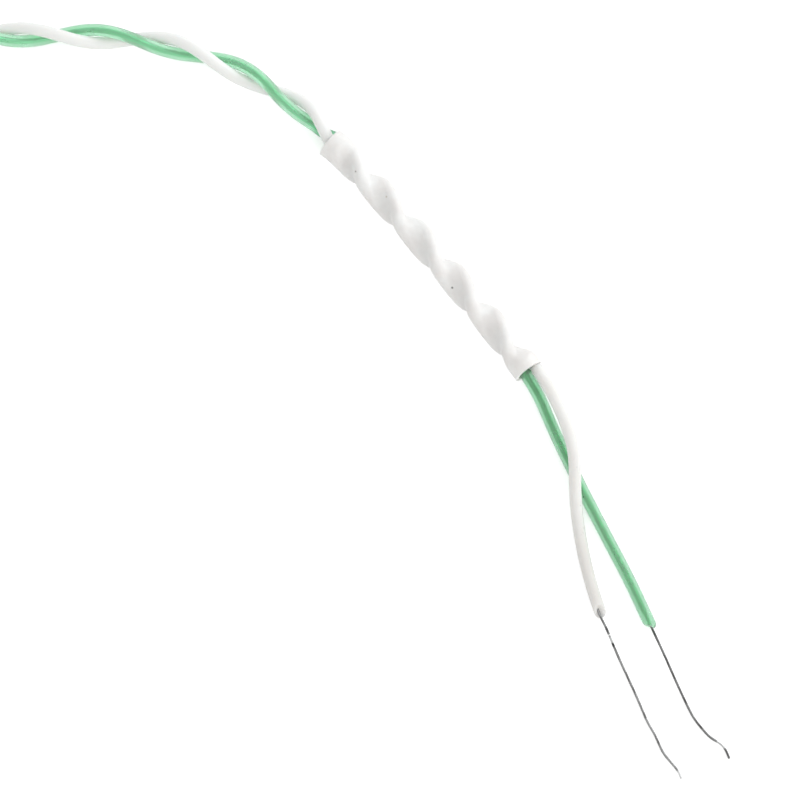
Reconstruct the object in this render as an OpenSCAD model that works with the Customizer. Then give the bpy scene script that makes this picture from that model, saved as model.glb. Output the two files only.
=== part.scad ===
// Fine wire thermocouple probe: a twisted pair of insulated cores under a shrink sleeve, with
// two stripped tails at the meter end and a welded measuring junction at the other.
// It lies on z = 0. X runs along the straight lead, from the coil to the sleeve. Sizes are in mm.

/* [Cores] */
// Outside diameter of each insulated core
core_d = 1; // [0.8:0.05:1.3]
// Diameter of each solid conductor
wire_d = 0.2; // [0.1:0.05:0.3]
// Play all round a conductor in its insulation
bore_play = 0.02; // [0.01:0.01:0.05]
// Gap between the two cores of the pair
core_gap = 0.04; // [0.03:0.01:0.1]
// Length over which the insulation necks in where it is stripped
neck_len = 0.4; // [0.2:0.1:1]

/* [Twisted pair] */
// Length of the whole cable, from the junction to the end of the insulation
cable_len = 1000; // [800:10:1100]
// Length of one full turn of the pair outside the sleeve
lead_pitch = 12.2; // [10:0.2:16]
// Length of one full turn of the pair inside the sleeve
sleeve_pitch = 9.3; // [8:0.1:14]
// Length of the lead between the sleeve and the coil
lead_run = 49; // [45:1:70]

/* [Sleeve] */
// Length of the shrunk sleeve
sleeve_len = 24.7; // [18:0.1:34]
// Wall of the shrunk sleeve
sleeve_wall = 0.13; // [0.1:0.01:0.3]
// Play between the sleeve and the cores
sleeve_play = 0.04; // [0.04:0.01:0.1]
// How far each round mouth stands off the pair
mouth_flare = 0.04; // [0.03:0.01:0.3]
// Length over which the cable end's mouth draws in on the cores
mouth_len = 2; // [1:0.1:4]

/* [Tails] */
// Insulated length of the green tail
green_tail_len = 23; // [15:0.5:30]
// Bare length at the end of the green tail
green_bare_len = 12.7; // [8:0.1:20]
// Insulated length of the white tail
white_tail_len = 21.4; // [18:0.2:30]
// Bare length at the end of the white tail
white_bare_len = 15; // [12:0.2:20]

/* [Coil] */
// Diameter of the middle turn of the coiled cable
coil_mean_d = 22.4; // [20:0.2:30]
// Number of layers in the coil
coil_layers = 3; // [3:1:4]
// Gap between turns
turn_gap = 0.03; // [0.02:0.01:0.1]
// Width of the tie
tie_w = 3; // [2:0.1:5]
// Thickness of the tie
tie_t = 0.3; // [0.2:0.05:0.5]
// Length of the tie's twisted ends
tie_tail_len = 4; // [3:0.5:8]

/* [Measuring junction] */
// Insulated length that lies on the coil
hot_run = 13; // [8:0.5:16]
// Bare length of the two legs, up to the bead
leg_len = 5; // [3:0.5:8]
// Diameter of the welded bead
bead_d = 0.6; // [0.5:0.05:1]

/* [Hidden] */

green = [0.42, 0.7, 0.51];
white = [0.93, 0.93, 0.91];
nickel = [0.45, 0.45, 0.44];

// Sides of a core, a conductor, the sleeve and the bead
core_sides = 8;
wire_sides = 6;
sleeve_sides = 20;
bead_sides = 12;
// Distance between rings on the lead, in the sleeve and on an insulated and a bare tail
lead_step = 1;
sleeve_step = 0.55;
tail_step = 1.5;
bare_step = 0.9;
// Distance left between two pieces that meet
meet_gap = 0.02;

// Half the distance between the cores' centres, and the outside radius of the pair
pair_c = (core_d + core_gap) / 2;
pair_r = pair_c + core_d / 2;
turn_pitch = 2 * pair_r + turn_gap;

// The sleeve is wider across the lay, because it cuts each core at a slant
lay_stretch = 1 / cos(atan(2.6 * PI * pair_c / sleeve_pitch));
mouth_r = pair_r + sleeve_play + mouth_flare + sleeve_wall;
// Round length of the mouths at the cable end and the tail end
cable_lip = 1;
tail_lip = 0.8;
tail_draw = 0.75 * mouth_len;

// Route of the pair: distance from the sleeve's cable end and heading, turning evenly between
sleeve_heading = -50.5;
sleeve_bend = 5;
pair_route = [[-100, 0], [-28, 0], [-20, -3.5], [-12, -23.5], [-5, -36], [-1.5, -47],
    [0, sleeve_heading + sleeve_bend / 2], [sleeve_len, sleeve_heading - sleeve_bend / 2]];

// The cores cross at each waist of the sleeve, counted back from the tails
waist_count = 1 + floor(2 * sleeve_len / sleeve_pitch - 0.5);
last_waist = sleeve_len - 0.28 * sleeve_pitch;
first_waist = last_waist - (waist_count - 1) * sleeve_pitch / 2;
// Crossing by the cable end, and uneven crossings behind it in half turns of the lead
mouth_crossing = first_waist - 0.95 * sleeve_pitch / 2;
lead_shares = [0, 1.05, 1.87, 2.89, 3.92, 12];
lay_table = concat(
    [[last_waist + 20 * sleeve_pitch, 90 + 40 * 180]],
    [for (i = [0:waist_count - 1]) [last_waist - i * sleeve_pitch / 2, 90 - i * 180]],
    [for (q = lead_shares) [mouth_crossing - q * lead_pitch / 2, 90 - (waist_count + q) * 180]]);
lay_smooth = 0.6;
// In the sleeve the pair turns faster just past each crossing, by a share of half a turn
hurry = 0.05;
hurry_from = 40;
// It also wanders to one side where its cores lie side by side
wander = 0.13;
wander_len = 3;

// Routes of the tails: distance from the sleeve and heading
green_total = green_tail_len + green_bare_len;
green_route = [[0, -50], [3.5, -68.5], [9, -63.5], [17, -62.5], [green_tail_len, -67],
    [green_total - 5.1, -65.5], [green_total - 1.8, -33], [green_total, -76]];
white_total = white_tail_len + white_bare_len;
white_route = [[0, -66], [2.1, -60], [6.3, -71], [9.6, -90], [12.4, -84], [15, -81],
    [white_tail_len, -69], [white_total - 10.7, -66], [white_total - 6.2, -67.5],
    [white_total - 4.2, -55], [white_total - 2.5, -73.5], [white_total - 1.3, -34.5],
    [white_total, -88]];

// Heights: the pair in the lead and in the sleeve, and a tail that has come to the floor
lead_z = turn_pitch / 2;
mouth_z = mouth_r;
rise_len = 6;
floor_z = core_d / 2;
bare_z = wire_d / 2 + 0.02;
// The white tail passes over the green one
over_from = 5.5;
over_to = 8.5;
over_z = 1.5 * core_d + core_gap + 0.06;

// Coil: turns side by side in layers, enough of them for the rest of the cable
coil_columns = ceil((cable_len - lead_run - sleeve_len - green_tail_len - hot_run)
    / (PI * coil_mean_d * coil_layers));
coil_w = coil_columns * turn_pitch;
coil_h = coil_layers * turn_pitch;
coil_out_r = (coil_mean_d + coil_w) / 2;
coil_edge = 0.9;
// The outer turn leaves through a straight horn that is clear of the coil at its end
lead_turn_r = coil_out_r - turn_pitch / 2;
horn_len = sqrt(pow(coil_out_r, 2) - pow(lead_turn_r - turn_pitch / 2, 2)) + 0.3;
tie_angle = 180;
tie_twist_w = 0.9;
tie_twist_t = 0.6;

// Hot end: a widening arc on the top of the coil, led up to it by a ramp at the inner turns
hot_r = (coil_mean_d - coil_w) / 2 + turn_pitch;
hot_widening = 0.2;
hot_from = -20;
hot_z = coil_h + turn_pitch / 2;
hot_step = 1;
ramp_len = 9;
leg_count = 6;
leg_spread = 0.6 * wire_d;
bead_z = coil_h + bead_d / 2 + meet_gap;

function clamp01(t) = min(1, max(0, t));
function ease(t) = let (c = clamp01(t)) c * c * (3 - 2 * c);
function unit(v) = v / norm(v);
function last(list) = list[len(list) - 1];
function flat(p) = [p[0], p[1]];
function dir(h) = [cos(h), sin(h), 0];
function side(h) = [-sin(h), cos(h), 0];

// Turn of the pair about its own axis, evened out over each crossing
function lay(s) =
    let (e = lay_smooth, back = lookup(s - e, lay_table), fore = lookup(s + e, lay_table),
        even = (back + 2 * lookup(s, lay_table) + fore) / 4,
        quick = sin(2 * (even - 90) - hurry_from) + sin(hurry_from))
    even + (s > mouth_crossing ? 180 * hurry * quick : 0);

// Plan positions at even steps along a route
function walk(start, route, from, to, n) =
    let (d = (to - from) / n)
    [for (i = 0, h = lookup(from + d / 2, route), p = start; i <= n;
        p = p + d * [cos(h), sin(h)], i = i + 1, h = lookup(from + (i + 0.5) * d, route)) p];
function with_heights(plan, heights, from, to) =
    let (n = len(plan) - 1)
    [for (i = [1:n]) [plan[i][0], plan[i][1], lookup(from + (to - from) * i / n, heights)]];
function run(start, route, heights, from, to, step) =
    let (n = ceil((to - from) / step))
    with_heights(walk(start, route, from, to, n), heights, from, to);

// Stations of the pair: distance, plan position and heading
lead_from = lead_run - horn_len - meet_gap;
lead_n = ceil(lead_from / lead_step);
sleeve_n = ceil(sleeve_len / sleeve_step);
lead_plan = walk([0, 0], pair_route, 0, -lead_from, lead_n);
sleeve_plan = walk([0, 0], pair_route, 0, sleeve_len, sleeve_n);
function station(s, p) = [s, p[0], p[1], lookup(s, pair_route)];
sleeve_stations = [for (i = [0:sleeve_n]) station(sleeve_len * i / sleeve_n, sleeve_plan[i])];
stations = concat([for (i = [lead_n:-1:1]) station(-lead_from * i / lead_n, lead_plan[i])],
    sleeve_stations);

// Centre of the pair, and a core's centre: way is 1 for the green core and -1 for the white one
function centre(q) =
    [q[1], q[2], lead_z + (mouth_z - lead_z) * ease((q[0] + rise_len) / rise_len)]
    + side(q[3]) * wander * clamp01((q[0] + wander_len) / wander_len) * cos(2 * lay(q[0]));
function across(q) = side(q[3]) * cos(lay(q[0])) + [0, 0, sin(lay(q[0]))];
function along(q) = [0, 0, cos(lay(q[0]))] - side(q[3]) * sin(lay(q[0]));
function core_at(q, way) = centre(q) + way * pair_c * across(q);

// Tails: start heights, then down to the floor
green_start = core_at(last(stations), 1);
white_start = core_at(last(stations), -1);
green_heights = [[0, green_start[2]], [1.5, 0.25 * green_start[2] + 0.75 * floor_z + 0.05],
    [3.5, floor_z + 0.05], [6, floor_z], [green_tail_len, floor_z],
    [green_total - 5.1, bare_z], [green_total, bare_z]];
white_heights = [[0, white_start[2]], [2, 0.3 * white_start[2] + 0.7 * over_z],
    [over_from, over_z], [over_to, over_z], [over_to + 1.5, over_z - 0.1],
    [over_to + 5, floor_z + 0.25], [over_to + 8, floor_z], [white_tail_len, floor_z],
    [white_total - 10.7, bare_z], [white_total, bare_z]];
function tail(start, route, heights, len) =
    let (body = run(flat(start), route, heights, 0, len - neck_len, tail_step))
    concat(body, run(flat(last(body)), route, heights, len - neck_len, len, neck_len));
function core(way, route, heights, len) =
    concat([for (q = stations) core_at(q, way)],
        tail(core_at(last(stations), way), route, heights, len));
green_core = core(1, green_route, green_heights, green_tail_len);
white_core = core(-1, white_route, white_heights, white_tail_len);
green_wire = concat(green_core, run(flat(last(green_core)), green_route, green_heights,
    green_tail_len, green_total, bare_step));
white_wire = concat(white_core, run(flat(last(white_core)), white_route, white_heights,
    white_tail_len, white_total, bare_step));

// Coil centre, square off the straight end of the lead
lead_heading = stations[0][3];
tangent_point = last(lead_plan) - flat(dir(lead_heading)) * (horn_len + meet_gap);
coil_centre = tangent_point - flat(side(lead_heading)) * lead_turn_r;

// Hot end: the arc's axis, its two cores, and the bare legs that close in on the bead
function hot_angle(s) = hot_from + ln(1 + hot_widening * s / hot_r) / hot_widening * 180 / PI;
function hot_axis(s) =
    let (a = hot_angle(s), r = hot_r + hot_widening * s)
    [r * cos(a), r * sin(a), hot_z];
function hot_heading(s) = hot_angle(s) + 90 - atan(hot_widening);
function hot_core(s, way) =
    let (f = 360 * (s - hot_run) / lead_pitch)
    hot_axis(s) + way * pair_c * (side(hot_heading(s)) * cos(f) + [0, 0, sin(f)]);
function hot_leg(t, way) =
    let (s = hot_run + t * leg_len, w = ease(t))
    hot_axis(s) + [0, 0, (bead_z - hot_z) * w]
        + way * (pair_c + (leg_spread - pair_c) * w) * side(hot_heading(s));
hot_n = ceil(hot_run / hot_step);
function hot_points(way) = [for (i = [0:hot_n]) hot_core(hot_run * i / hot_n, way)];
function leg_points(way) = concat(hot_points(way),
    [for (i = [1:leg_count]) hot_leg(i / leg_count, way)]);

// Rings of n points square to a line of points, the first one square to the given direction
function tangent(pts, i) = unit(pts[min(i + 1, len(pts) - 1)] - pts[max(i - 1, 0)]);
function ring(p, t, r, n) =
    let (u = unit([-t[1], t[0], 0]), v = cross(t, u))
    [for (j = [0:n - 1]) p + r * (cos(360 * j / n) * u + sin(360 * j / n) * v)];
function rings(pts, r, n, first) =
    [for (i = [0:len(pts) - 1]) ring(pts[i], i == 0 ? first : tangent(pts, i), r, n)];
// The same with the last ring necked in
function necked(pts, r, n, first) =
    let (all = rings(pts, r, n, first), k = len(pts) - 1)
    concat([for (i = [0:k - 1]) all[i]], [ring(pts[k], tangent(pts, k), 0.8 * r, n)]);

// Rings of a ball of radius r about c, with its poles along t
function ball(c, t, r, n) =
    [for (a = [-75:25:75]) ring(c + t * r * sin(a), t, r * cos(a), n)];

// Section of the sleeve: two lobes that turn with the cores, drawn out round at each mouth
function roundness(s) = max(1 - ease((s - cable_lip) / mouth_len),
    1 - ease((sleeve_len - tail_lip - s) / tail_draw));
function section(q, grow) =
    let (w = roundness(q[0]), x = across(q), y = along(q), round_r = mouth_r - sleeve_wall + grow,
        lobe_x = core_d / 2 + sleeve_play + grow,
        lobe_y = lay_stretch * core_d / 2 + sleeve_play + grow)
    [for (j = [0:sleeve_sides - 1])
        let (a = 360 * (j + 0.5) / sleeve_sides, way = cos(a) > 0 ? 1 : -1)
        centre(q) + x * (w * round_r * cos(a) + (1 - w) * (way * pair_c + lobe_x * cos(a)))
            + y * sin(a) * (w * round_r + (1 - w) * lobe_y)];

// Faces of a skin of m rings of n points, seen from outside or from inside
function skin(n, m, from, outside) = [for (i = [0:m - 2], j = [0:n - 1])
    let (a = from + i * n + j, b = from + i * n + (j + 1) % n)
    each (outside ? [[a, b + n, b], [a, a + n, b + n]] : [[a, b, b + n], [a, b + n, a + n]])];
module bar(outer) {
    n = len(outer[0]);
    m = len(outer);
    polyhedron([for (r = outer, p = r) p], concat(skin(n, m, 0, true),
        [[for (j = [0:n - 1]) j]], [[for (j = [n - 1:-1:0]) (m - 1) * n + j]]));
}
module pipe(outer, inner) {
    n = len(outer[0]);
    m = len(outer);
    bore = m * n;
    end = (m - 1) * n;
    polyhedron([for (r = concat(outer, inner), p = r) p], concat(
        skin(n, m, 0, true),
        skin(n, m, bore, false),
        [for (j = [0:n - 1]) let (k = (j + 1) % n) [j, k, bore + k, bore + j]],
        [for (j = [0:n - 1]) let (k = (j + 1) % n)
            [end + j, bore + end + j, bore + end + k, end + k]]));
}

// Origin: middle of the base of the sleeve, the cores and the conductors
lead_dir = dir(lead_heading);
outline = concat(
    [for (r = rings(green_core, core_d / 2, core_sides, lead_dir), p = r) p],
    [for (r = rings(white_core, core_d / 2, core_sides, lead_dir), p = r) p],
    [for (r = rings(green_wire, wire_d / 2, wire_sides, lead_dir), p = r) p],
    [for (r = rings(white_wire, wire_d / 2, wire_sides, lead_dir), p = r) p]);
function middle(k) = (min([for (p = outline) p[k]]) + max([for (p = outline) p[k]])) / 2;
origin = [middle(0), middle(1), 0];
module placed() {
    translate(-origin)
        children();
}
module on_coil() {
    placed()
        translate([coil_centre[0], coil_centre[1], 0])
            children();
}

// Insulation of one core and the conductor in it
module insulation(points, first) {
    pipe(necked(points, core_d / 2, core_sides, first),
        rings(points, wire_d / 2 + bore_play, core_sides, first));
}
module conductor(points, first) {
    bar(rings(points, wire_d / 2, wire_sides, first));
}

// Outline with round corners, for the coil and its tie
function rounded(w, h, e) = [for (q = [[1, 1, 0], [-1, 1, 90], [-1, -1, 180], [1, -1, 270]],
    a = [0:30:90]) [q[0] * (w / 2 - e), q[1] * (h / 2 - e)] + e * [cos(q[2] + a), sin(q[2] + a)]];
function coil_outline(inset) = rounded(coil_w - 2 * inset, coil_h - 2 * inset, coil_edge - inset / 2);

module disc(p, h, turn) {
    translate(p)
        rotate([0, 0, turn])
            rotate([0, 90, 0])
                cylinder(r = pair_r, h = h, $fn = 24);
}
module at_tie() {
    rotate([0, 0, tie_angle])
        translate([coil_mean_d / 2, 0, coil_h / 2])
            rotate([90, 0, 0])
                children();
}

module shrink_sleeve() {
    color(white)
        placed()
            pipe([for (q = sleeve_stations) section(q, sleeve_wall)],
                [for (q = sleeve_stations) section(q, 0)]);
}

module green_insulation() {
    color(green)
        placed()
            insulation(green_core, lead_dir);
}

module white_insulation() {
    color(white)
        placed()
            insulation(white_core, lead_dir);
}

module positive_conductor() {
    color(nickel)
        placed()
            conductor(green_wire, lead_dir);
}

module negative_conductor() {
    color(nickel)
        placed()
            conductor(white_wire, lead_dir);
}

module lead_coil() {
    heading = hot_heading(0);
    top = hot_axis(0) - dir(heading) * (meet_gap + 0.1);
    foot = top - dir(heading) * ramp_len - [0, 0, turn_pitch];
    color(green)
        on_coil() {
            difference() {
                rotate_extrude()
                    translate([coil_mean_d / 2, coil_h / 2])
                        polygon(coil_outline(0));
                at_tie()
                    linear_extrude(tie_w + 2 * meet_gap, center = true)
                        difference() {
                            square([coil_w + 2, coil_h + 2], center = true);
                            polygon(coil_outline(tie_t + 2 * meet_gap));
                        }
            }
            translate([0, 0, lead_z])
                rotate([0, 0, lead_heading])
                    translate([0, lead_turn_r, 0])
                        rotate([0, 90, 0])
                            cylinder(r = pair_r, h = horn_len, $fn = 48);
            hull() {
                disc(top, 0.1, heading);
                disc(foot, 0.1, heading);
            }
        }
}

module coil_tie() {
    color(white)
        on_coil()
            at_tie() {
                linear_extrude(tie_w, center = true)
                    difference() {
                        polygon(coil_outline(meet_gap));
                        polygon(coil_outline(meet_gap + tie_t));
                    }
                translate([coil_w / 2 - tie_t / 2, 0, 0])
                    rotate([0, 90, 0])
                        linear_extrude(tie_tail_len, twist = 540, slices = 18)
                            square([tie_twist_w, tie_twist_t], center = true);
            }
}

module hot_end_green_insulation() {
    color(green)
        on_coil()
            insulation(hot_points(1), dir(hot_heading(0)));
}

module hot_end_white_insulation() {
    color(white)
        on_coil()
            insulation(hot_points(-1), dir(hot_heading(0)));
}

module measuring_junction() {
    end = hot_run + leg_len;
    bead = [hot_axis(end)[0], hot_axis(end)[1], bead_z];
    color(nickel)
        on_coil() {
            for (way = [-1, 1])
                conductor(leg_points(way), dir(hot_heading(0)));
            bar(ball(bead, dir(hot_heading(end)), bead_d / 2, bead_sides));
        }
}

shrink_sleeve();
green_insulation();
white_insulation();
positive_conductor();
negative_conductor();
lead_coil();
coil_tie();
hot_end_green_insulation();
hot_end_white_insulation();
measuring_junction();
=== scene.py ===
import math

import bpy
import numpy as np
from mathutils import Matrix


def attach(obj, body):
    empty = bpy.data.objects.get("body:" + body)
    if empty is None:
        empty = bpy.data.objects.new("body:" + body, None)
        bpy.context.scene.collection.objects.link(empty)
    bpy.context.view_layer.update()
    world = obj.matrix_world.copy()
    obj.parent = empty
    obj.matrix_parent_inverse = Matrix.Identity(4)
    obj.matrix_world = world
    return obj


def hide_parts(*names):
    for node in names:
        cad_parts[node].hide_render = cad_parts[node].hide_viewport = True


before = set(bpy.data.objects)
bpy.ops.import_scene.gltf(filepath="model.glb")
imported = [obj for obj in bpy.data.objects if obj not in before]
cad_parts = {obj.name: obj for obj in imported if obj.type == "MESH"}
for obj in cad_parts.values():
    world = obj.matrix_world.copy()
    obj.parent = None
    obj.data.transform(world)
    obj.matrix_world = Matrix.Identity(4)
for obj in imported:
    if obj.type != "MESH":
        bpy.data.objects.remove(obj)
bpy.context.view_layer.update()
mm = 0.001
fullTurn = 2 * math.pi
up = np.array([0.0, 0.0, 1.0])
right, ahead = np.eye(3)[:2]


# Small numeric helpers

def table(rows):
    # [distance in mm, degrees] rows as distance in metres and radians
    rows = np.array(rows, float)
    return rows[:, 0] * mm, np.radians(rows[:, 1])


def lengths(rows):
    # [distance, length] rows in mm, such as heights along a route, in metres
    rows = np.array(rows, float) * mm
    return rows[:, 0], rows[:, 1]


def ease(t):
    c = np.clip(t, 0, 1)
    return c * c * (3 - 2 * c)


def unit(v):
    return v / np.linalg.norm(v, axis=-1, keepdims=True)


def dirOf(h):
    return np.stack([np.cos(h), np.sin(h), 0 * h], -1)


def sideOf(h):
    return np.stack([-np.sin(h), np.cos(h), 0 * h], -1)


def roundAngles(n, shift=0.0):
    return fullTurn * (np.arange(n) + shift) / n


def smooth(points, sigma, step):
    # Gaussian average along a line of points a step apart, its ends held
    reach = int(4 * sigma / step) + 1
    w = np.exp(-0.5 * (np.arange(-reach, reach + 1) * step / sigma) ** 2)
    w /= w.sum()
    head = 2 * points[0] - points[reach:0:-1]
    tail = 2 * points[-1] - points[-2:-reach - 2:-1]
    padded = np.concatenate([head, points, tail])
    return np.stack([np.convolve(padded[:, k], w, "valid") for k in range(points.shape[1])], -1)


def arcLength(points):
    steps = np.linalg.norm(np.diff(points, axis=0), axis=1)
    return np.concatenate([[0], np.cumsum(steps)])


def resample(points, stations):
    s = arcLength(points)
    return np.stack([np.interp(stations, s, points[:, k]) for k in range(3)], -1)


def facing(x, back, place):
    # Where a camera or lamp stands: its right side along x, its back towards back
    rows = np.eye(4)
    rows[:3, 0], rows[:3, 1], rows[:3, 2], rows[:3, 3] = x, np.cross(back, x), back, place
    return Matrix(rows.tolist())


# Camera

camera = {"elevation": 75.0, "pixel": 0.080 * mm, "lens": 600.0, "sensor": 36.0, "frame": 800,
          "near": 0.05, "far": 10}
# Middle of the sleeve's mouth on the cable's side: its pixel, and its height over the floor
mouth = {"pixel": (331.8, 141.8), "height": 1.23 * mm}
# The frame's origin, measured from the floor below that mouth
origin = np.array([-3.12388, -21.2766, 0]) * mm


def makeCamera(c):
    e = math.radians(c["elevation"])
    half = c["frame"] / 2
    across = (half - mouth["pixel"][0]) * c["pixel"]
    down = (half - mouth["pixel"][1]) * c["pixel"]
    target = up * mouth["height"] - origin + right * across - ahead * down / math.sin(e)
    back = up * math.sin(e) - ahead * math.cos(e)
    away = c["frame"] * c["pixel"] * c["lens"] / c["sensor"]
    data = bpy.data.cameras.new("camera")
    data.lens, data.sensor_width = c["lens"], c["sensor"]
    data.clip_start, data.clip_end = c["near"], c["far"]
    cam = bpy.data.objects.new("camera", data)
    bpy.context.collection.objects.link(cam)
    cam.matrix_world = facing(right, back, target + back * away)
    bpy.context.scene.camera = cam
    return target


target = makeCamera(camera)
print("camera made")


# Route of the pair, the same as the solids'

# "grip" is how thick the skin's dark inner wall shows round the green core's conductor
core = {"d": 1.0 * mm, "wire": 0.2 * mm, "grip": 0.33 * mm, "half": 0.52 * mm, "neck": 0.4 * mm,
        "smooth": 0.25 * mm}
pair = {"z": 1.035 * mm, "mouthZ": mouth["height"], "rise": 6 * mm, "lead": 49 * mm,
        "sleeve": 24.7 * mm, "wander": 0.13 * mm, "wanderLen": 3 * mm, "pitch": 12.2 * mm,
        "sleevePitch": 9.3 * mm, "waists": 5, "lastWaist": 0.28, "mouthCrossing": 0.475,
        "smooth": 0.6 * mm, "hurry": 0.05, "hurryFrom": 40.0}
step = 0.1 * mm

# Distance from the sleeve's mouth on the cable's side, and heading
pairRoute = table([[-100, 0], [-28, 0], [-20, -3.5], [-12, -23.5], [-5, -36], [-1.5, -52],
                   [0, -48], [24.7, -53]])
# The cores lie a little apart in the lead, and a little aside where they enter each mouth
apartRows = lengths([[-48, 0], [-44, 0.015], [-9, 0.015], [-5, 0.09], [-3, 0.08], [-0.6, 0],
                     [30, 0]])
asideRows = {1: lengths([[-48, 0], [-6, 0], [-2, 0.3], [0, 0.32], [1.5, 0], [21.5, 0],
                         [24.7, 0.13]]),
             -1: lengths([[-48, 0], [-6, 0], [-3.5, 0.05], [-2, 0.03], [0, 0.26], [1.5, 0],
                          [21.5, 0], [24.7, 0.13]])}

# The lay, half a turn from one crossing to the next: the waists of the sleeve, from the tails'
# mouth back, then the cable's mouth, then uneven crossings in half turns of the lead
waists = [pair["sleeve"] - pair["sleevePitch"] * (pair["lastWaist"] + 0.5 * i)
          for i in range(pair["waists"])]
mouthCrossing = waists[-1] - pair["mouthCrossing"] * pair["sleevePitch"]
leadShares = [0, 1.08, 1.87, 2.89, 3.92, 12]
turnsBeyond = 20
layRows = [[waists[0] + turnsBeyond * pair["sleevePitch"], 90 + 360 * turnsBeyond]]
layRows += [[w, 90 - 180 * i] for i, w in enumerate(waists)]
layRows += [[mouthCrossing - q * pair["pitch"] / 2, 90 - 180 * (pair["waists"] + q)]
            for q in leadShares]
layTable = np.array(layRows[::-1]).T


def lay(s):
    # Turn of the pair in radians: linear between crossings, evened out, quicker past a waist
    e = pair["smooth"]
    look = lambda x: np.interp(x, layTable[0], layTable[1])
    even = (look(s - e) + 2 * look(s) + look(s + e)) / 4
    f = math.radians(pair["hurryFrom"])
    quick = np.sin(np.radians(2 * (even - 90)) - f) + math.sin(f)
    return np.radians(even + np.where(s > mouthCrossing, 180 * pair["hurry"] * quick, 0))


def walk(route, start, first, last):
    # Plan line whose heading is the route's: running sum of steps from start
    n = int(round(abs(last - first) / step))
    d = (last - first) / n
    mid = first + d * (np.arange(n) + 0.5)
    line = np.cumsum(np.concatenate([[start[:2]], d * dirOf(np.interp(mid, *route))[:, :2]]), 0)
    return np.linspace(first, last, n + 1), line


def pairAxis():
    # Stations from the tails' mouth back to the coil, with centre and side vector
    sSleeve, inSleeve = walk(pairRoute, -origin, 0, pair["sleeve"])
    sLead, inLead = walk(pairRoute, -origin, 0, -pair["lead"])
    s = np.concatenate([sSleeve[::-1], sLead[1:]])
    plan = np.concatenate([inSleeve[::-1], inLead[1:]])
    z = pair["z"] + (pair["mouthZ"] - pair["z"]) * ease((s + pair["rise"]) / pair["rise"])
    side = sideOf(np.interp(s, *pairRoute))
    sway = pair["wander"] * np.clip(s / pair["wanderLen"] + 1, 0, 1) * np.cos(2 * lay(s))
    return s, np.column_stack([plan, z]) + side * sway[:, None], side


pairS, pairCentre, pairSide = pairAxis()


def coreInPair(way):
    # way is 1 for the green core and -1 for the white one
    f = lay(pairS)[:, None]
    apart = np.interp(pairS, *apartRows)[:, None]
    centre = pairCentre + up * apart + pairSide * np.interp(pairS, *asideRows[way])[:, None]
    return centre + way * (core["half"] + apart) * (pairSide * np.cos(f) + up * np.sin(f))


# Coil: turns side by side in three layers, then the hot end on the top

coil = {"mean": 22.4 * mm, "columns": 5, "layers": 3, "pitch": 2.07 * mm,
        "topInner": 7.65 * mm, "smooth": 1.2 * mm}
coil["turn"] = (coil["mean"] + (coil["columns"] - 1) * coil["pitch"]) / 2
coil["inner"] = coil["turn"] - (coil["columns"] - 1) * coil["pitch"]
coil["h"] = coil["layers"] * coil["pitch"]
hot = {"run": 13 * mm, "leg": 5 * mm, "start": 8.1 * mm, "widening": 0.2,
       "z": (coil["layers"] + 0.5) * coil["pitch"]}
tangentPoint = pairCentre[-1] * [1, 1, 0]
coilCentre = tangentPoint - ahead * coil["turn"]


def windCoil():
    # Radius and height are linear in the angle between these rows: [degrees, radius, layer]
    rows = np.array([[0, coil["turn"], 0], [1440, coil["inner"], 0], [1620, coil["inner"], 1],
                     [3060, coil["turn"], 1], [3160, coil["turn"], 2],
                     [4499, coil["topInner"], 2], [4570, hot["start"], 3]])
    woundPoints, topPoints, leadPoints = 40000, 600, 200
    a = np.linspace(0, rows[-1, 0], woundPoints)
    r = np.interp(a, rows[:, 0], rows[:, 1])
    z = (np.interp(a, rows[:, 0], rows[:, 2]) + 0.5) * coil["pitch"]
    phi = np.radians(a) + math.pi / 2
    wound = coilCentre + np.column_stack([r * np.cos(phi), r * np.sin(phi), z])
    # The hot end is a spiral whose radius grows evenly with its length
    s = np.linspace(0, hot["run"] + hot["leg"], topPoints)[1:]
    phi = phi[-1] + np.log(1 + hot["widening"] * s / hot["start"]) / hot["widening"]
    r = hot["start"] + hot["widening"] * s
    top = coilCentre + np.column_stack([r * np.cos(phi), r * np.sin(phi), hot["z"] + 0 * s])
    line = np.concatenate([wound, top])
    n = int(arcLength(line)[-1] / step)
    line = resample(line, np.arange(n + 1) * step)
    # The end of the lead goes before it, so that the two are smoothed into each other
    entry = pairCentre[-leadPoints:-1]
    return smooth(np.concatenate([entry, line]), coil["smooth"], step)[len(entry):]


coilAxis = windCoil()
insulated = len(coilAxis) - int(hot["leg"] / step)
coilTangent = unit(np.gradient(coilAxis, axis=0))
coilSide = unit(np.cross(up, coilTangent))


def coilPhase():
    # The turn goes on from the lead's, and comes out level where the insulation ends
    first = math.pi - lay(pairS[-1:])[0]
    total = insulated * step * fullTurn / pair["pitch"]
    total += -(first + total) % fullTurn
    return first + total * np.arange(len(coilAxis)) / insulated


def coreInCoil(way):
    f = coilPhase()[:insulated, None]
    axis, side = coilAxis[:insulated], coilSide[:insulated]
    return axis + way * core["half"] * (side * np.cos(f) + up * np.sin(f))


# Tails: distance from the sleeve's mouth with heading, and with height in mm

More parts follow.
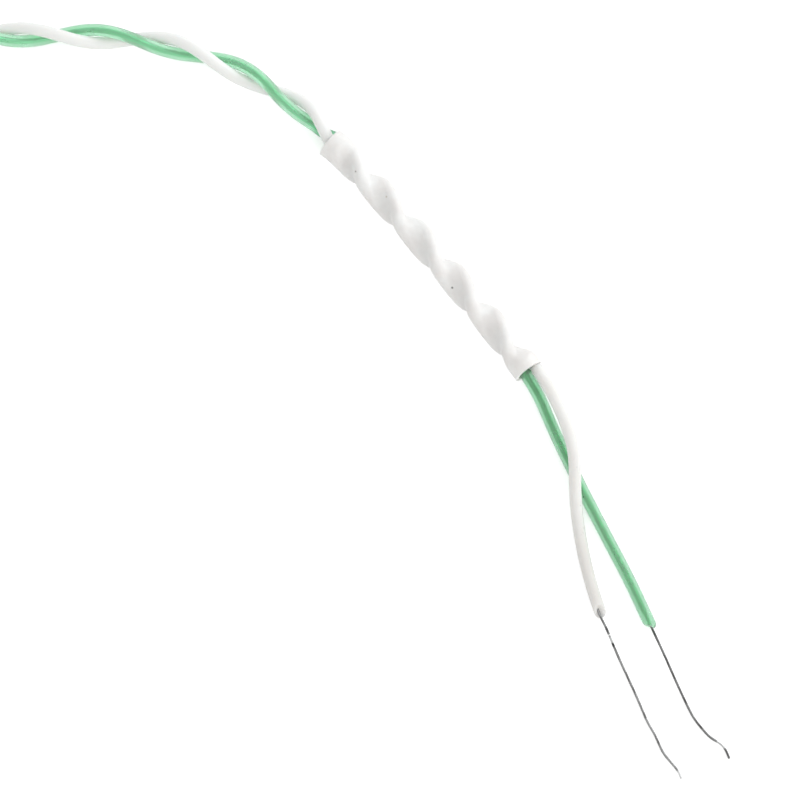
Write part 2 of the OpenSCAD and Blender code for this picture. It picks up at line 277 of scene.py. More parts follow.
# Heights of a core that lies over the other one, and of a core and a bare wire on the floor
overZ, floorZ, bareZ = 1.60, 0.5, 0.12
greenTail = {"len": 23 * mm, "bare": 12.57 * mm, "way": 1,
             "route": table([[0, -53], [3, -68], [4.5, -67], [6, -65.6], [9, -65.1], [11, -63.7],
                             [17, -63.1], [21.5, -66.4], [23, -65.5], [24.5, -65.5],
                             [27, -67.2], [30.6, -64.2], [31.7, -51.5], [32.8, -49.1],
                             [33.8, -24.6], [34.8, -64.9], [35.65, -73.6]]),
             "heights": lengths([[0, 1.057], [1.5, 0.689], [3.5, 0.55], [6, floorZ],
                                 [23, floorZ], [30.6, bareZ], [35.7, bareZ]])}
whiteTail = {"len": 21.4 * mm, "bare": 14.69 * mm, "way": -1,
             "route": table([[0, -58], [1.2, -59.7], [2.4, -61.8], [6.3, -73], [8.2, -84],
                             [9.8, -91], [12.4, -84], [15, -80], [21.4, -70], [23.3, -67.8],
                             [26, -65.4], [30.2, -68.5], [31.3, -57.9], [32.3, -68.7],
                             [33.2, -64.1], [34.1, -48.3], [35.1, -50.8], [36.4, -90.9]]),
             "heights": lengths([[0, 1.403], [2, 1.54], [5.5, overZ], [8.5, overZ],
                                 [10, overZ - 0.1], [13.5, floorZ + 0.25], [16.5, floorZ],
                                 [21.4, floorZ], [25.7, bareZ], [36.4, bareZ]])}


def tailLine(t):
    # From the sleeve's mouth to the tip of the bare wire
    start = coreInPair(t["way"])[0]
    s, plan = walk(t["route"], start, 0, t["len"] + t["bare"])
    return np.column_stack([plan, np.interp(s, *t["heights"])])


def wholeCore(t):
    # From the tip of the bare wire to the end of the insulation on the coil
    tip = tailLine(t)[::-1]
    line = np.concatenate([tip[:-1], coreInPair(t["way"]), coreInCoil(t["way"])[1:]])
    return smooth(line, core["smooth"], step), int(round(t["bare"] / step))


greenLine, greenBare = wholeCore(greenTail)
whiteLine, whiteBare = wholeCore(whiteTail)


# Meshes

def surface(name, grid, along, wrapRows=False, poles=(None, None)):
    # Closed surface through a grid of rows by columns; columns always wrap round
    rows, cols = grid.shape[:2]
    verts = grid.reshape(-1, 3)
    i, j = np.meshgrid(np.arange(rows if wrapRows else rows - 1), np.arange(cols), indexing="ij")
    i2, j2 = (i + 1) % rows, (j + 1) % cols
    quads = np.stack([i * cols + j, i * cols + j2, i2 * cols + j2, i2 * cols + j], -1)
    faces = quads.reshape(-1, 4).tolist()
    # Its map: u is the share of the way round, v is what along says of the row
    u0, u1, v0, v1 = j / cols, (j + 1) / cols, along[i], along[i + 1]
    uv = np.stack([u0, v0, u1, v0, u1, v1, u0, v1], -1).reshape(-1, 2)
    c = np.arange(cols)
    for pole, row, turned in ((poles[0], 0, True), (poles[1], rows - 1, False)):
        if pole is None:
            continue
        verts = np.concatenate([verts, [pole]])
        a, b = row * cols + c, row * cols + (c + 1) % cols
        near, far = (b, a) if turned else (a, b)
        faces += np.stack([near, far, np.full(cols, len(verts) - 1)], -1).tolist()
        v = along[row] + 0 * c
        uvs = np.stack([c / cols, v, (c + 1) / cols, v, (c + 0.5) / cols, v], -1)
        uv = np.concatenate([uv, uvs.reshape(-1, 2)])
    mesh = bpy.data.meshes.new(name)
    mesh.from_pydata(verts.tolist(), [], faces)
    layer = mesh.uv_layers.new(name="along")
    layer.data.foreach_set("uv", uv.astype(np.float32).ravel())
    mesh.polygons.foreach_set("use_smooth", np.ones(len(faces), bool))
    mesh.validate()
    mesh.update()
    o = bpy.data.objects.new(name, mesh)
    bpy.context.collection.objects.link(o)
    return o


def ringsAlong(line, radii, sides):
    # p + r (u cos a + v sin a), with u level and v square to it and to the line
    t = unit(np.gradient(line, axis=0))
    u = unit(np.cross(up, t))
    v = np.cross(t, u)
    a = roundAngles(sides)
    ring = u[:, None] * np.cos(a)[None, :, None] + v[:, None] * np.sin(a)[None, :, None]
    return line[:, None] + radii[:, None, None] * ring


def tube(name, line, radii, sides):
    return surface(name, ringsAlong(line, radii, sides), arcLength(line) / mm,
                   poles=(line[0], line[-1]))


def joined(parts):
    # One object of several, under the last one's name
    bpy.ops.object.select_all(action="DESELECT")
    for p in parts:
        p.select_set(True)
    bpy.context.view_layer.objects.active = parts[-1]
    bpy.ops.object.join()
    return parts[-1]


# Cores

# How the stripping cut left each tail: how far the skin reaches past the bare wire's start, how
# far it is drawn back on which side (0 level, a quarter turn up), over what length it narrows,
# how wide its tip is, and how deep its end is hollow as a share of the cut
greenEnd = {"over": 0.2 * mm, "cut": 0.4 * mm, "side": 0.0, "neck": 0.5 * mm, "tip": 0.4,
            "hollow": 0.35}
whiteEnd = {"over": 0.0, "cut": 1.0 * mm, "side": 1.57, "neck": 0.3 * mm, "tip": 0.75,
            "hollow": 0.75}
# Rings: close together as far as the camera sees the core, then wider apart in the coil, with
# a neck of rings at both ends
coreRings = {"sides": 32, "seen": 85 * mm, "close": 0.16 * mm, "wide": 0.5 * mm,
             "first": 0.5 * mm, "last": 0.6 * mm, "hotTip": 0.72,
             "neck": np.array([0.005, 0.03, 0.08, 0.16, 0.26, 0.38]) * mm}


def coreTube(name, line, bare, end):
    c = coreRings
    body = line[bare - int(end["over"] / step):]
    total = arcLength(body)[-1]
    stations = np.concatenate([c["neck"], np.arange(c["first"], c["seen"], c["close"]),
                               np.arange(c["seen"], total - c["last"], c["wide"]),
                               total - c["neck"][::-1]])
    path = resample(body, stations)
    rise = lambda s, far, tip: tip + (1 - tip) * np.sqrt(1 - (1 - np.clip(s / far, 0, 1)) ** 2)
    radii = core["d"] / 2 * np.minimum(rise(stations, end["neck"], end["tip"]),
                                       rise(total - stations, core["neck"], c["hotTip"]))
    # p + r (u cos a + v sin a) + t cut ((1 + cos(a - side)) / 2)^1.5, dying out in three cuts
    most = ((1 + np.cos(roundAngles(c["sides"]) - end["side"])) / 2) ** 1.5
    back = end["cut"] * most * ease(1 - stations / (3 * end["cut"]))[:, None]
    t = unit(np.gradient(path, axis=0))
    grid = ringsAlong(path, radii, c["sides"]) + t[:, None] * back[..., None]
    pole = path[0] + t[0] * end["cut"] * end["hollow"]
    return surface(name, grid, stations / mm, poles=(pole, body[-1])), path


greenCore, greenPath = coreTube("green_core", greenLine, greenBare, greenEnd)
whiteCore, whitePath = coreTube("white_core", whiteLine, whiteBare, whiteEnd)
print("cores made:", len(greenPath), arcLength(greenPath)[-1], arcLength(whitePath)[-1])


# Conductors

# Each is drawn as far as it shows. Past the cut it takes the thickness of the skin's inner wall
# over the grip's length, before the cut it is scraped, and by the cut it lies off the middle
strand = {"sides": 16, "ring": 0.2 * mm, "shown": 95 * mm, "tip": 0.07 * mm, "blunt": 0.7,
          "tipRings": np.array([0, 0.01, 0.03, 0.07]) * mm, "gripLen": 0.8 * mm,
          "scrape": 0.1, "scrapeLen": 1.2 * mm, "scrapeWaves": (9.1, 5.3),
          "leanStart": 0.5 * mm, "leanRise": 1.8 * mm, "leanEnd": 1 * mm, "leanFall": 4 * mm}
whiteLean = 0.13 * mm


def conductor(name, line, bare, lean, thick):
    # The wire from its tip back through the insulation of the lead
    c = strand
    stations = np.concatenate([c["tipRings"], np.arange(c["ring"], c["shown"], c["ring"])])
    past = stations - bare
    r = core["wire"] / 2
    radii = r * np.sqrt(1 - np.clip(1 - stations / c["tip"], 0, 1) ** 2 * c["blunt"])
    radii = radii + (thick / 2 - r) * ease((past - c["gripLen"]) / c["gripLen"])
    scraped = ease(1 - np.abs(past + c["scrapeLen"]) / c["scrapeLen"])
    wave, slowWave = (w * stations / mm for w in c["scrapeWaves"])
    radii = radii * (1 + c["scrape"] * scraped * np.sin(wave) * np.sin(slowWave + 1))
    # It lies off the insulation's middle by lean, to the right seen from the sleeve
    line = resample(line, stations)
    along = unit(np.gradient(line, axis=0))
    off = lean * ease(1 + (past - c["leanStart"]) / c["leanRise"])
    off = off * (1 - ease((past - c["leanEnd"]) / c["leanFall"]))
    return tube(name, line + np.cross(up, along) * off[:, None], radii, c["sides"])


greenWire = conductor("positive_wire", greenLine, greenTail["bare"], 0.0, core["grip"])
whiteWire = conductor("negative_wire", whiteLine, whiteTail["bare"], whiteLean, core["wire"])


# Sleeve

# "thick" is how much more wall the tails' mouth has, "round" the radius at both mouths, "before"
# and "beyond" how far it reaches past the pair's sleeve. Lobes: half the distance between their
# centres, their radii along and across the pair's line. Pairs are for the cable's and the tails'
# mouth: the slant of the cut, and how far the mouth lies aside
sleeve = {"wall": 0.15 * mm, "thick": 0.17 * mm, "thickLen": 1.2 * mm, "round": 1.26 * mm,
          "lip": 0.5 * mm, "mouth": 1.6 * mm, "tailLip": 0.6 * mm, "tailMouth": 1.4 * mm,
          "before": 0.18 * mm, "beyond": 0.28 * mm,
          "apart": 0.575 * mm, "lobeX": 0.65 * mm, "lobeY": 0.64 * mm,
          "slants": (0.15 * mm, 0.04 * mm), "slantLen": 3 * mm,
          "asides": (0.07 * mm, 0.03 * mm), "points": 72, "rows": 200, "lipRows": 5}


def sleeveRows(s, grow):
    # Two lobes round the cores, turned with the lay, drawn out to a circle at each mouth:
    # p + x (sign(cos a) apart + X cos a) + y Y sin a. grow is 0 inside and 1 outside
    c, left = sleeve, pair["sleeve"] - s
    order = np.argsort(pairS)
    pick = lambda values: np.stack([np.interp(s, pairS[order], values[order, k])
                                    for k in range(3)], -1)
    centre, side, f = pick(pairCentre), pick(pairSide), lay(s)[:, None]
    x, y = side * np.cos(f) + up * np.sin(f), up * np.cos(f) - side * np.sin(f)
    a = roundAngles(c["points"], 0.5)
    w = np.maximum(1 - ease((s - c["lip"]) / c["mouth"]),
                   1 - ease((left - c["tailLip"]) / c["tailMouth"]))[:, None]
    wall = c["wall"] + c["thick"] * ease(1 - left / c["thickLen"])
    inset = (wall * (1 - grow))[:, None]
    roundR, lobeX, lobeY = (c[k] - inset for k in ("round", "lobeX", "lobeY"))
    lobed = np.sign(np.cos(a)) * c["apart"] + lobeX * np.cos(a)
    gx = w * roundR * np.cos(a) + (1 - w) * lobed
    gy = np.sin(a) * (w * roundR + (1 - w) * lobeY)
    out = x[:, None] * gx[..., None] + y[:, None] * gy[..., None]
    # Each mouth is cut a little aslant: points on one side of it lie further along
    sideways = (out * side[:, None]).sum(-1, keepdims=True) / c["round"]
    slant = (c["slants"][1] * ease(1 - left / c["slantLen"])
             - c["slants"][0] * ease(1 - s / c["slantLen"]))[:, None, None]
    forward = np.cross(side, up)[:, None]
    off = np.where(s > pair["sleeve"] / 2, c["asides"][1], c["asides"][0])[:, None]
    return (centre - side * w * off)[:, None] + out + forward * sideways * slant


def makeSleeve():
    # Outside from the cable to the tails, over the round lip, back along the inside, over the lip
    n = sleeve["rows"]
    lip = np.linspace(0, math.pi, sleeve["lipRows"] + 2)[1:-1]
    half = sleeve["wall"] / 2
    tailHalf = (sleeve["wall"] + sleeve["thick"]) / 2
    first = half - sleeve["before"]
    out = np.linspace(first, pair["sleeve"] + sleeve["beyond"] - tailHalf, n)
    s = np.concatenate([out, out[-1] + tailHalf * np.sin(lip), out[::-1],
                        first - half * np.sin(lip)])
    grow = np.concatenate([np.ones(n), 0.5 + 0.5 * np.cos(lip), np.zeros(n),
                           0.5 - 0.5 * np.cos(lip)])
    along = np.concatenate([s, s[:1]]) / mm
    return surface("sleeve", sleeveRows(s, grow), along, wrapRows=True)


sleevePiece = makeSleeve()
print("sleeve made")


# Measuring junction

# The legs start so many steps inside the insulation and end some wire widths apart; the bead is
# a ball with two lobes round it and three along it, as shares of its radius
junctionShape = {"hidden": 20, "ring": 0.15 * mm, "sides": 12, "close": 0.6, "bead": 0.6 * mm,
                 "twoLobes": 0.05, "threeLobes": 0.04, "beadRows": 15, "beadSides": 24}


def legLine(way):
    # From inside the insulation, closing in on the bead
    c = junctionShape
    first = insulated - c["hidden"]
    line, side = coilAxis[first:], coilSide[first:]
    s = (np.arange(len(line)) - c["hidden"]) * step
    w = ease(s / hot["leg"])[:, None]
    f = coilPhase()[first:, None] * (s[:, None] < 0)
    level = core["half"] * (side * np.cos(f) + up * np.sin(f))
    close = c["close"] * core["wire"] * side
    drop = (hot["z"] - coil["h"] - c["bead"] / 2) * w * up
    return line + way * (level * (1 - w) + close * w) - drop


def makeJunction(c):
    parts = []
    for way in (1, -1):
        line = legLine(way)
        line = resample(line, np.arange(0, arcLength(line)[-1] - step, c["ring"]))
        parts.append(tube("leg", line, np.full(len(line), core["wire"] / 2), c["sides"]))
    # r = R (1 + small lobes), closed at both poles
    half = c["bead"] / 2
    centre = coilAxis[-1] - up * (coilAxis[-1, 2] - coil["h"] - half)
    along, side = coilTangent[-1], coilSide[-1]
    a = np.linspace(0, math.pi, c["beadRows"] + 2)[1:-1, None]
    b = roundAngles(c["beadSides"])[None]
    r = half * (1 + c["twoLobes"] * np.sin(2 * b + 1) * np.sin(a)
                + c["threeLobes"] * np.cos(3 * a))
    bead = centre + (r * np.cos(a) * -1)[..., None] * along
    bead = bead + (r * np.sin(a) * np.cos(b))[..., None] * side
    bead = bead + (r * np.sin(a) * np.sin(b))[..., None] * up
    tips = [centre - along * half * (1 + c["threeLobes"]),
            centre + along * half * (1 - c["threeLobes"])]
    parts.append(surface("measuring_bead", bead, np.linspace(0, 1, c["beadRows"]), poles=tips))
    return joined(parts)


junction = makeJunction(junctionShape)


# Tie round the coil

# The band's section: places across its width, and depths as shares of its thickness. "outline"
# is about the way round the bundle in mm, for the band's map. Its end is a flat bar that is
# twisted by some half turns
tie = {"angle": 180.0, "w": 3 * mm, "t": 0.3 * mm, "edge": 0.85 * mm, "proud": 0.28 * mm,
       "raise": 0.01 * mm, "cornerRows": 9, "outline": 40,
       "across": (-0.5, -0.49, -0.25, -0.1, 0, 0.1, 0.25, 0.49, 0.5, 0.5, 0, -0.5),
       "depth": (0.35, 0.12, 0.16, 0.08, 0, 0.08, 0.16, 0.12, 0.35, 1, 1, 1),
       "tail": 4 * mm, "tailRows": 60, "tailSides": 16, "halfTurns": 3,
       "tailW": 0.42 * mm, "tailT": 0.25 * mm, "boxy": 0.6}


def makeTie(c):
    # A flat section with a wire's ridge in its middle, swept round the bundle's outline
    w = coil["columns"] * coil["pitch"] + 2 * c["proud"]
    h = coil["h"] + c["proud"]
    loop, normal = [], []
    for cx, cy, quarter in ((1, 1, 0), (-1, 1, 90), (-1, -1, 180), (1, -1, 270)):
        a = np.radians(quarter + np.linspace(0, 90, c["cornerRows"]))
        corner = np.array([cx * (w / 2 - c["edge"]), cy * (h / 2 - c["edge"])])
        out = np.stack([np.cos(a), np.sin(a)], -1)
        loop.append(corner + c["edge"] * out)
        normal.append(out)
    loop, normal = np.concatenate(loop), np.concatenate(normal)
    across, depth = np.array(c["across"]) * c["w"], np.array(c["depth"]) * c["t"]
    angle = np.array(math.radians(c["angle"]))
    outward, sideways = dirOf(angle), sideOf(angle)
    middle = coilCentre + outward * coil["mean"] / 2 + up * (h / 2 + c["raise"])
    flat = loop[:, None] - normal[:, None] * depth[None, :, None]
    grid = middle + flat[..., :1] * outward + flat[..., 1:] * up + across[None, :, None] * sideways
    along = np.linspace(0, c["outline"], len(loop) + 1)
    band = surface("tie_band", grid, along, wrapRows=True)
    # The twisted end: x = W sign(cos a) |cos a|^0.6 and y likewise, turned evenly along it
    s = np.linspace(0, c["tail"], c["tailRows"])
    turnBy = (c["halfTurns"] * math.pi * s / c["tail"])[:, None]
    a = roundAngles(c["tailSides"])
    gx = c["tailW"] * np.sign(np.cos(a)) * np.abs(np.cos(a)) ** c["boxy"]
    gy = c["tailT"] * np.sign(np.sin(a)) * np.abs(np.sin(a)) ** c["boxy"]
    y = np.cos(turnBy) * gx - np.sin(turnBy) * gy
    z = np.sin(turnBy) * gx + np.cos(turnBy) * gy
    base = middle + outward * (w / 2 - c["t"] / 2)
    grid = base + s[:, None, None] * outward + y[..., None] * sideways + z[..., None] * up
    stub = surface("wire_tie", grid, s / mm, poles=(base, base + outward * c["tail"]))
    return joined([band, stub])


tiePiece = makeTie(tie)
print("junction and tie made")


# Shared effects

def feed(tree, n, inputs):
    # An input is a value, or another node's output
    for k, v in inputs.items():
        if isinstance(v, bpy.types.NodeSocket):
            tree.links.new(v, n.inputs[k])
        else:
            n.inputs[k].default_value = v
    return n


def put(tree, kind, inputs=None, **settings):
    # A node with its settings and inputs
    n = tree.nodes.new("ShaderNode" + kind)
    for k, v in settings.items():
        setattr(n, k, v)
    return feed(tree, n, inputs or {})


def calc(tree, op, a, b=0.0, c=0.0):
    return put(tree, "Math", {0: a, 1: b, 2: c}, operation=op).outputs[0]


def between(tree, value, low, high, start=0.0, end=1.0):
    # Smooth step of a value from low to high
    n = put(tree, "MapRange", {"Value": value, "From Min": low, "From Max": high, "To Min": start,
                               "To Max": end}, interpolation_type="SMOOTHSTEP")
    return n.outputs["Result"]


def blend(tree, factor, a, b):
    # Sockets 6 and 7 are the node's two colours, and its third output is their mix
    return put(tree, "Mix", {0: factor, 6: a, 7: b}, data_type="RGBA").outputs[2]


def noise(tree, place, scale, detail=2.0, rough=0.5):
    n = put(tree, "TexNoise", {"Vector": place, "Scale": scale, "Detail": detail,
                               "Roughness": rough})
    return n.outputs["Fac"]


def ownMap(tree):
    # The piece's own map: 0 is the share of the way round, 1 the millimetres along
    uv = put(tree, "UVMap", uv_map="along").outputs["UV"]
    return put(tree, "SeparateXYZ", {0: uv}).outputs


def placeInMm(tree):
    place = put(tree, "TexCoord").outputs["Object"]
    return put(tree, "VectorMath", {0: place, "Scale": 1 / mm}, operation="SCALE").outputs[0]


def roundVector(tree, around, along):
    # The piece's own map wrapped into a tube, so that a pattern meets itself
    parts = ownMap(tree)
    angle = calc(tree, "MULTIPLY", parts[0], fullTurn)
    x = calc(tree, "MULTIPLY", calc(tree, "COSINE", angle), around)
    y = calc(tree, "MULTIPLY", calc(tree, "SINE", angle), around)
    z = calc(tree, "MULTIPLY", parts[1], along)
    return put(tree, "CombineXYZ", {0: x, 1: y, 2: z}).outputs[0]


number, tint, point = "NodeSocketFloat", "NodeSocketColor", "NodeSocketVector"
plain = (1, 1, 1, 1)


def newGroup(name, inputs, outputs):
    # A shared effect: its tree, what it is given, and the node that takes its results
    g = bpy.data.node_groups.new(name, "ShaderNodeTree")
    for label, kind, value in inputs:
        g.interface.new_socket(label, in_out="INPUT", socket_type=kind).default_value = value
    for label, kind in outputs:
        g.interface.new_socket(label, in_out="OUTPUT", socket_type=kind)
    return g, g.nodes.new("NodeGroupInput").outputs, g.nodes.new("NodeGroupOutput")


def makeSkin():
    # Extruded skin: slow clouds of colour, fine lines along the cord and a faint grain
    g, given, out = newGroup("extrudedSkin",
                             [("Pale", tint, plain), ("Deep", tint, plain),
                              ("Clouds", number, 0.3), ("Lines", number, 1.0),
                              ("Roughness", number, 0.3)],
                             [("Color", tint), ("Roughness", number), ("Height", number)])
    cloud = noise(g, roundVector(g, 0.5, given["Clouds"]), 1.0, 3.0, 0.6)
    line = noise(g, roundVector(g, 3.0, 0.12), 2.0, 2.0, 0.6)
    grain = noise(g, roundVector(g, 1.0, 2.0), 9.0, 3.0, 0.6)
    mixed = calc(g, "ADD", calc(g, "MULTIPLY", cloud, 0.75), calc(g, "MULTIPLY", line, 0.25))
    share = between(g, mixed, 0.36, 0.64)
    rough = calc(g, "MULTIPLY_ADD", calc(g, "SUBTRACT", cloud, 0.5), 0.25, given["Roughness"])
    height = calc(g, "ADD", calc(g, "MULTIPLY", line, given["Lines"]),
                  calc(g, "MULTIPLY", grain, 0.35))
    feed(g, out, {"Color": blend(g, share, given["Pale"], given["Deep"]), "Roughness": rough,
                  "Height": height})
    return g


def raggedMask(g, far, place, scale, size):
    # Full well inside the size and gone beyond it, with a rim that noise makes uneven
    gone, full = 1.1, 0.6
    ragged = calc(g, "ADD", noise(g, place, scale), 0.5)
    near = calc(g, "DIVIDE", calc(g, "MULTIPLY", far, ragged), size)
    return between(g, near, gone, full)


def makeSpeck():
    # One speck at a place on a piece's own map, drawn out along it by the stretch
    g, given, out = newGroup("speck", [("Around", number, 0.5), ("Along", number, 0.0),
                                       ("Girth", number, 3.14), ("Size", number, 0.1),
                                       ("Stretch", number, 1.0)], [("Mask", number)])
    parts = ownMap(g)
    x = calc(g, "MULTIPLY", calc(g, "SUBTRACT", parts[0], given["Around"]), given["Girth"])
    y = calc(g, "DIVIDE", calc(g, "SUBTRACT", parts[1], given["Along"]), given["Stretch"])
    far = calc(g, "SQRT", calc(g, "ADD", calc(g, "MULTIPLY", x, x), calc(g, "MULTIPLY", y, y)))
    mask = raggedMask(g, far, roundVector(g, 3.0, 6.0), 2.0, given["Size"])
    feed(g, out, {"Mask": mask})
    return g


def makeSpot():
    # One round speck at a place on the piece, in mm
    g, given, out = newGroup("spot", [("Place", point, (0, 0, 0)), ("Size", number, 0.1)],
                             [("Mask", number)])
    place = placeInMm(g)
    far = put(g, "VectorMath", {0: place, 1: given["Place"]}, operation="DISTANCE")
    mask = raggedMask(g, far.outputs["Value"], place, 9.0, given["Size"])
    feed(g, out, {"Mask": mask})
    return g


def makeDust():
    # Sparse dots of dirt: cells of which few hold a dot, each of its own size
    g, given, out = newGroup("dust", [("Scale", number, 1.0), ("Share", number, 0.1),
                                      ("Size", number, 0.1)], [("Mask", number)])
    place = put(g, "TexCoord").outputs["Object"]
    cells = put(g, "TexVoronoi", {"Vector": place, "Scale": given["Scale"]})
    chance = put(g, "SeparateXYZ", {0: cells.outputs["Color"]}).outputs
    kept = calc(g, "LESS_THAN", chance[0], given["Share"])
    size = calc(g, "MULTIPLY", given["Size"], calc(g, "ADD", chance[1], 0.3))
    dot = calc(g, "LESS_THAN", cells.outputs["Distance"], size)
    feed(g, out, {"Mask": calc(g, "MULTIPLY", kept, dot)})
    return g


skin, speck, spot, dust = makeSkin(), makeSpeck(), makeSpot(), makeDust()


# Materials

def newMaterial(name):
    m = bpy.data.materials.new(name)
    m.use_nodes = True
    return m, m.node_tree, m.node_tree.nodes["Principled BSDF"]


def effect(tree, g, values):
    n = tree.nodes.new("ShaderNodeGroup")
    n.node_tree = g
    return feed(tree, n, values).outputs


def rgba(colour):
    return (*colour, 1)


def specks(tree, colour, marks, girth):
    # Specks one after the other: around, along in mm, size in mm, stretch, colour
    for around, along, size, stretch, shade in marks:
        mask = effect(tree, speck, {"Around": around, "Along": along, "Girth": girth,
                                    "Size": size, "Stretch": stretch})["Mask"]
        colour = blend(tree, mask, colour, rgba(shade))
    return colour


def bumped(tree, height, depth):
    bump = put(tree, "Bump", {"Height": height, "Distance": depth, "Strength": 1.0})
    return bump.outputs["Normal"]


# Each skin: its colours, a paler one for the lead that is painted light, stretches of painted
# shade that are darker all round, by the sleeve's mouths and towards the white tail's end (place
# and half length in mm, colour), and its specks
green = {"pale": (0.80, 0.95, 0.85), "deep": (0.71, 0.925, 0.77), "lead": None, "rough": 0.3,
         "transmission": 0.78, "absorbs": (0.0, 0.85, 0.4), "density": 550.0, "sheen": 0.8,
         "softness": 0.0, "dust": (0.1, 0.25, 0.15),
         # painted shade, darker all round, by the sleeve's two mouths
         "shadedStretches": [(50.7, 1.3, (0.3, 0.62, 0.42)), (22.6, 2.4, (0.62, 0.87, 0.7))],
         "marks": [(0.049, 14.87, 0.06, 1.0, (0.03, 0.13, 0.08)),
                   (0.165, 12.05, 0.065, 1.0, (0.01, 0.06, 0.04)),
                   (0.10, 12.45, 0.05, 1.6, (0.12, 0.4, 0.25))]}
white = {"pale": (0.84, 0.83, 0.81), "deep": (0.8, 0.785, 0.76), "lead": (0.93, 0.925, 0.9),
         "rough": 0.26, "transmission": 0.0, "absorbs": None, "sheen": 0.5, "softness": 0.9,
         "dust": (0.35, 0.32, 0.28),
         # painted shade, darker all round, towards the tail's end
         "shadedStretches": [(2.5, 7.5, (0.77, 0.75, 0.725))],
         "marks": [(0.02, 17.1, 0.04, 1.0, (0.45, 0.36, 0.3)),
                   (0.36, 9.26, 0.035, 1.0, (0.5, 0.5, 0.48)),
                   (0.365, 7.4, 0.02, 7.0, (0.55, 0.54, 0.52)),
                   (0.335, 7.0, 0.02, 5.0, (0.5, 0.49, 0.47)),
                   (0.27, 6.85, 0.04, 1.4, (0.66, 0.65, 0.63)),
                   (0.3, 12.3, 0.025, 3.0, (0.6, 0.6, 0.58))]}
# What both have in common. A skin is painted paler, as painted light, up to the share
# "paintedLight", between the two places, and a stretch of painted shade has its full colour over
# the share "full" of its length
skinLook = {"clouds": 0.3, "lines": 1.0, "bump": 0.006 * mm, "ior": 1.36, "sheenRough": 0.35,
            "scatter": 1.0 * mm, "paintedLightFrom": 20.0, "paintedLightTo": 46.0, "paintedLight": 0.7, "full": 0.3,
            "dust": {"Scale": 900.0, "Share": 0.12, "Size": 0.05}}
# How far red, green and blue spread in a milky plastic
spread = (1.0, 0.95, 0.9)


def insulation(name, c):
    # Milky fluoropolymer: light passes, and the longer its way inside the deeper the colour
    m, tree, shader = newMaterial(name)
    look = skinLook
    got = effect(tree, skin, {"Pale": rgba(c["pale"]), "Deep": rgba(c["deep"]),
                              "Clouds": look["clouds"], "Lines": look["lines"],
                              "Roughness": c["rough"]})
    colour, along = got["Color"], ownMap(tree)[1]
    if c["lead"]:
        # Painted light: the lead is painted paler than the tails, standing in for more light
        # falling on it
        paintedLight = between(tree, along, look["paintedLightFrom"], look["paintedLightTo"])
        paintedLight = calc(tree, "MULTIPLY", paintedLight, look["paintedLight"])
        colour = blend(tree, paintedLight, colour, rgba(c["lead"]))
    # Painted shade: stretches darker all round, by the sleeve's mouths and towards the white
    # tail's end
    for place, half, shade in c["shadedStretches"]:
        far = calc(tree, "ABSOLUTE", calc(tree, "SUBTRACT", along, place))
        inside = between(tree, far, half, look["full"] * half)
        colour = blend(tree, inside, colour, rgba(shade))
    colour = specks(tree, colour, c["marks"], math.pi * core["d"] / mm)
    dirt = effect(tree, dust, look["dust"])["Mask"]
    feed(tree, shader, {"Base Color": blend(tree, dirt, colour, rgba(c["dust"])),
                        "Roughness": got["Roughness"],
                        "Normal": bumped(tree, got["Height"], look["bump"]),
                        "Transmission Weight": c["transmission"], "IOR": look["ior"],
                        "Sheen Weight": c["sheen"], "Sheen Roughness": look["sheenRough"],
                        "Subsurface Weight": c["softness"], "Subsurface Radius": spread,
                        "Subsurface Scale": look["scatter"]})
    if c["absorbs"]:
        volume = put(tree, "VolumeAbsorption", {"Color": rgba(c["absorbs"]),
                                                "Density": c["density"]})
        feed(tree, tree.nodes["Material Output"], {"Volume": volume.outputs[0]})
    return m


greenMat = insulation("green_insulation", green)
whiteMat = insulation("white_insulation", white)


def satin(tree, place, c):
    # Soft clouds from the pale colour to the deep one, and a grain that makes the gloss uneven
    clouds, grain = noise(tree, place, *c["clouds"]), noise(tree, place, *c["grain"])
    colour = blend(tree, between(tree, clouds, 0.35, 0.65), rgba(c["pale"]), rgba(c["deep"]))
    return colour, grain, between(tree, grain, 0.3, 0.7, *c["rough"])


# Noises: scale per mm, detail, roughness. "rough" is the least and the most that the grain gives.
# Marks: share of the way round, mm along, size in mm, colour
sleeveLook = {"pale": (0.93, 0.92, 0.895), "deep": (0.88, 0.85, 0.825), "rough": (0.35, 0.52),
              "clouds": (0.45, 3.0, 0.6), "grain": (14.0, 3.0, 0.6), "dents": (0.9, 2.0, 0.5),
              "bump": 0.12 * mm, "grainDepth": 0.06, "softness": 0.4, "scatter": 0.25 * mm,
              "sheen": 0.25, "sheenRough": 0.4,
              "marks": [(0.126, 3.26, 0.07, (0.22, 0.16, 0.15)),
                        (0.738, 6.40, 0.08, (0.66, 0.6, 0.5)),
                        (0.748, 15.54, 0.08, (0.06, 0.05, 0.05))]}


def shrunkSleeve(c):
    # Satin tubing: soft uneven dents, a fine grain, specks where the photograph has them
    m, tree, shader = newMaterial("sleeve")
    place = placeInMm(tree)
    dents = noise(tree, place, *c["dents"])
    colour, grain, rough = satin(tree, place, c)
    for around, along, size, shade in c["marks"]:
        ring = sleeveRows(np.array([along]) * mm, np.ones(1))[0] / mm
        share = around * sleeve["points"]
        at = ring[int(share)] * (1 - share % 1) + ring[int(share) + 1] * (share % 1)
        mask = effect(tree, spot, {"Place": at.tolist(), "Size": size})["Mask"]
        colour = blend(tree, mask, colour, rgba(shade))
    height = calc(tree, "ADD", dents, calc(tree, "MULTIPLY", grain, c["grainDepth"]))
    feed(tree, shader, {"Base Color": colour, "Roughness": rough,
                        "Normal": bumped(tree, height, c["bump"]),
                        "Sheen Weight": c["sheen"], "Sheen Roughness": c["sheenRough"],
                        "Subsurface Weight": c["softness"], "Subsurface Radius": spread,
                        "Subsurface Scale": c["scatter"]})
    return m


sleeveMat = shrunkSleeve(sleeveLook)

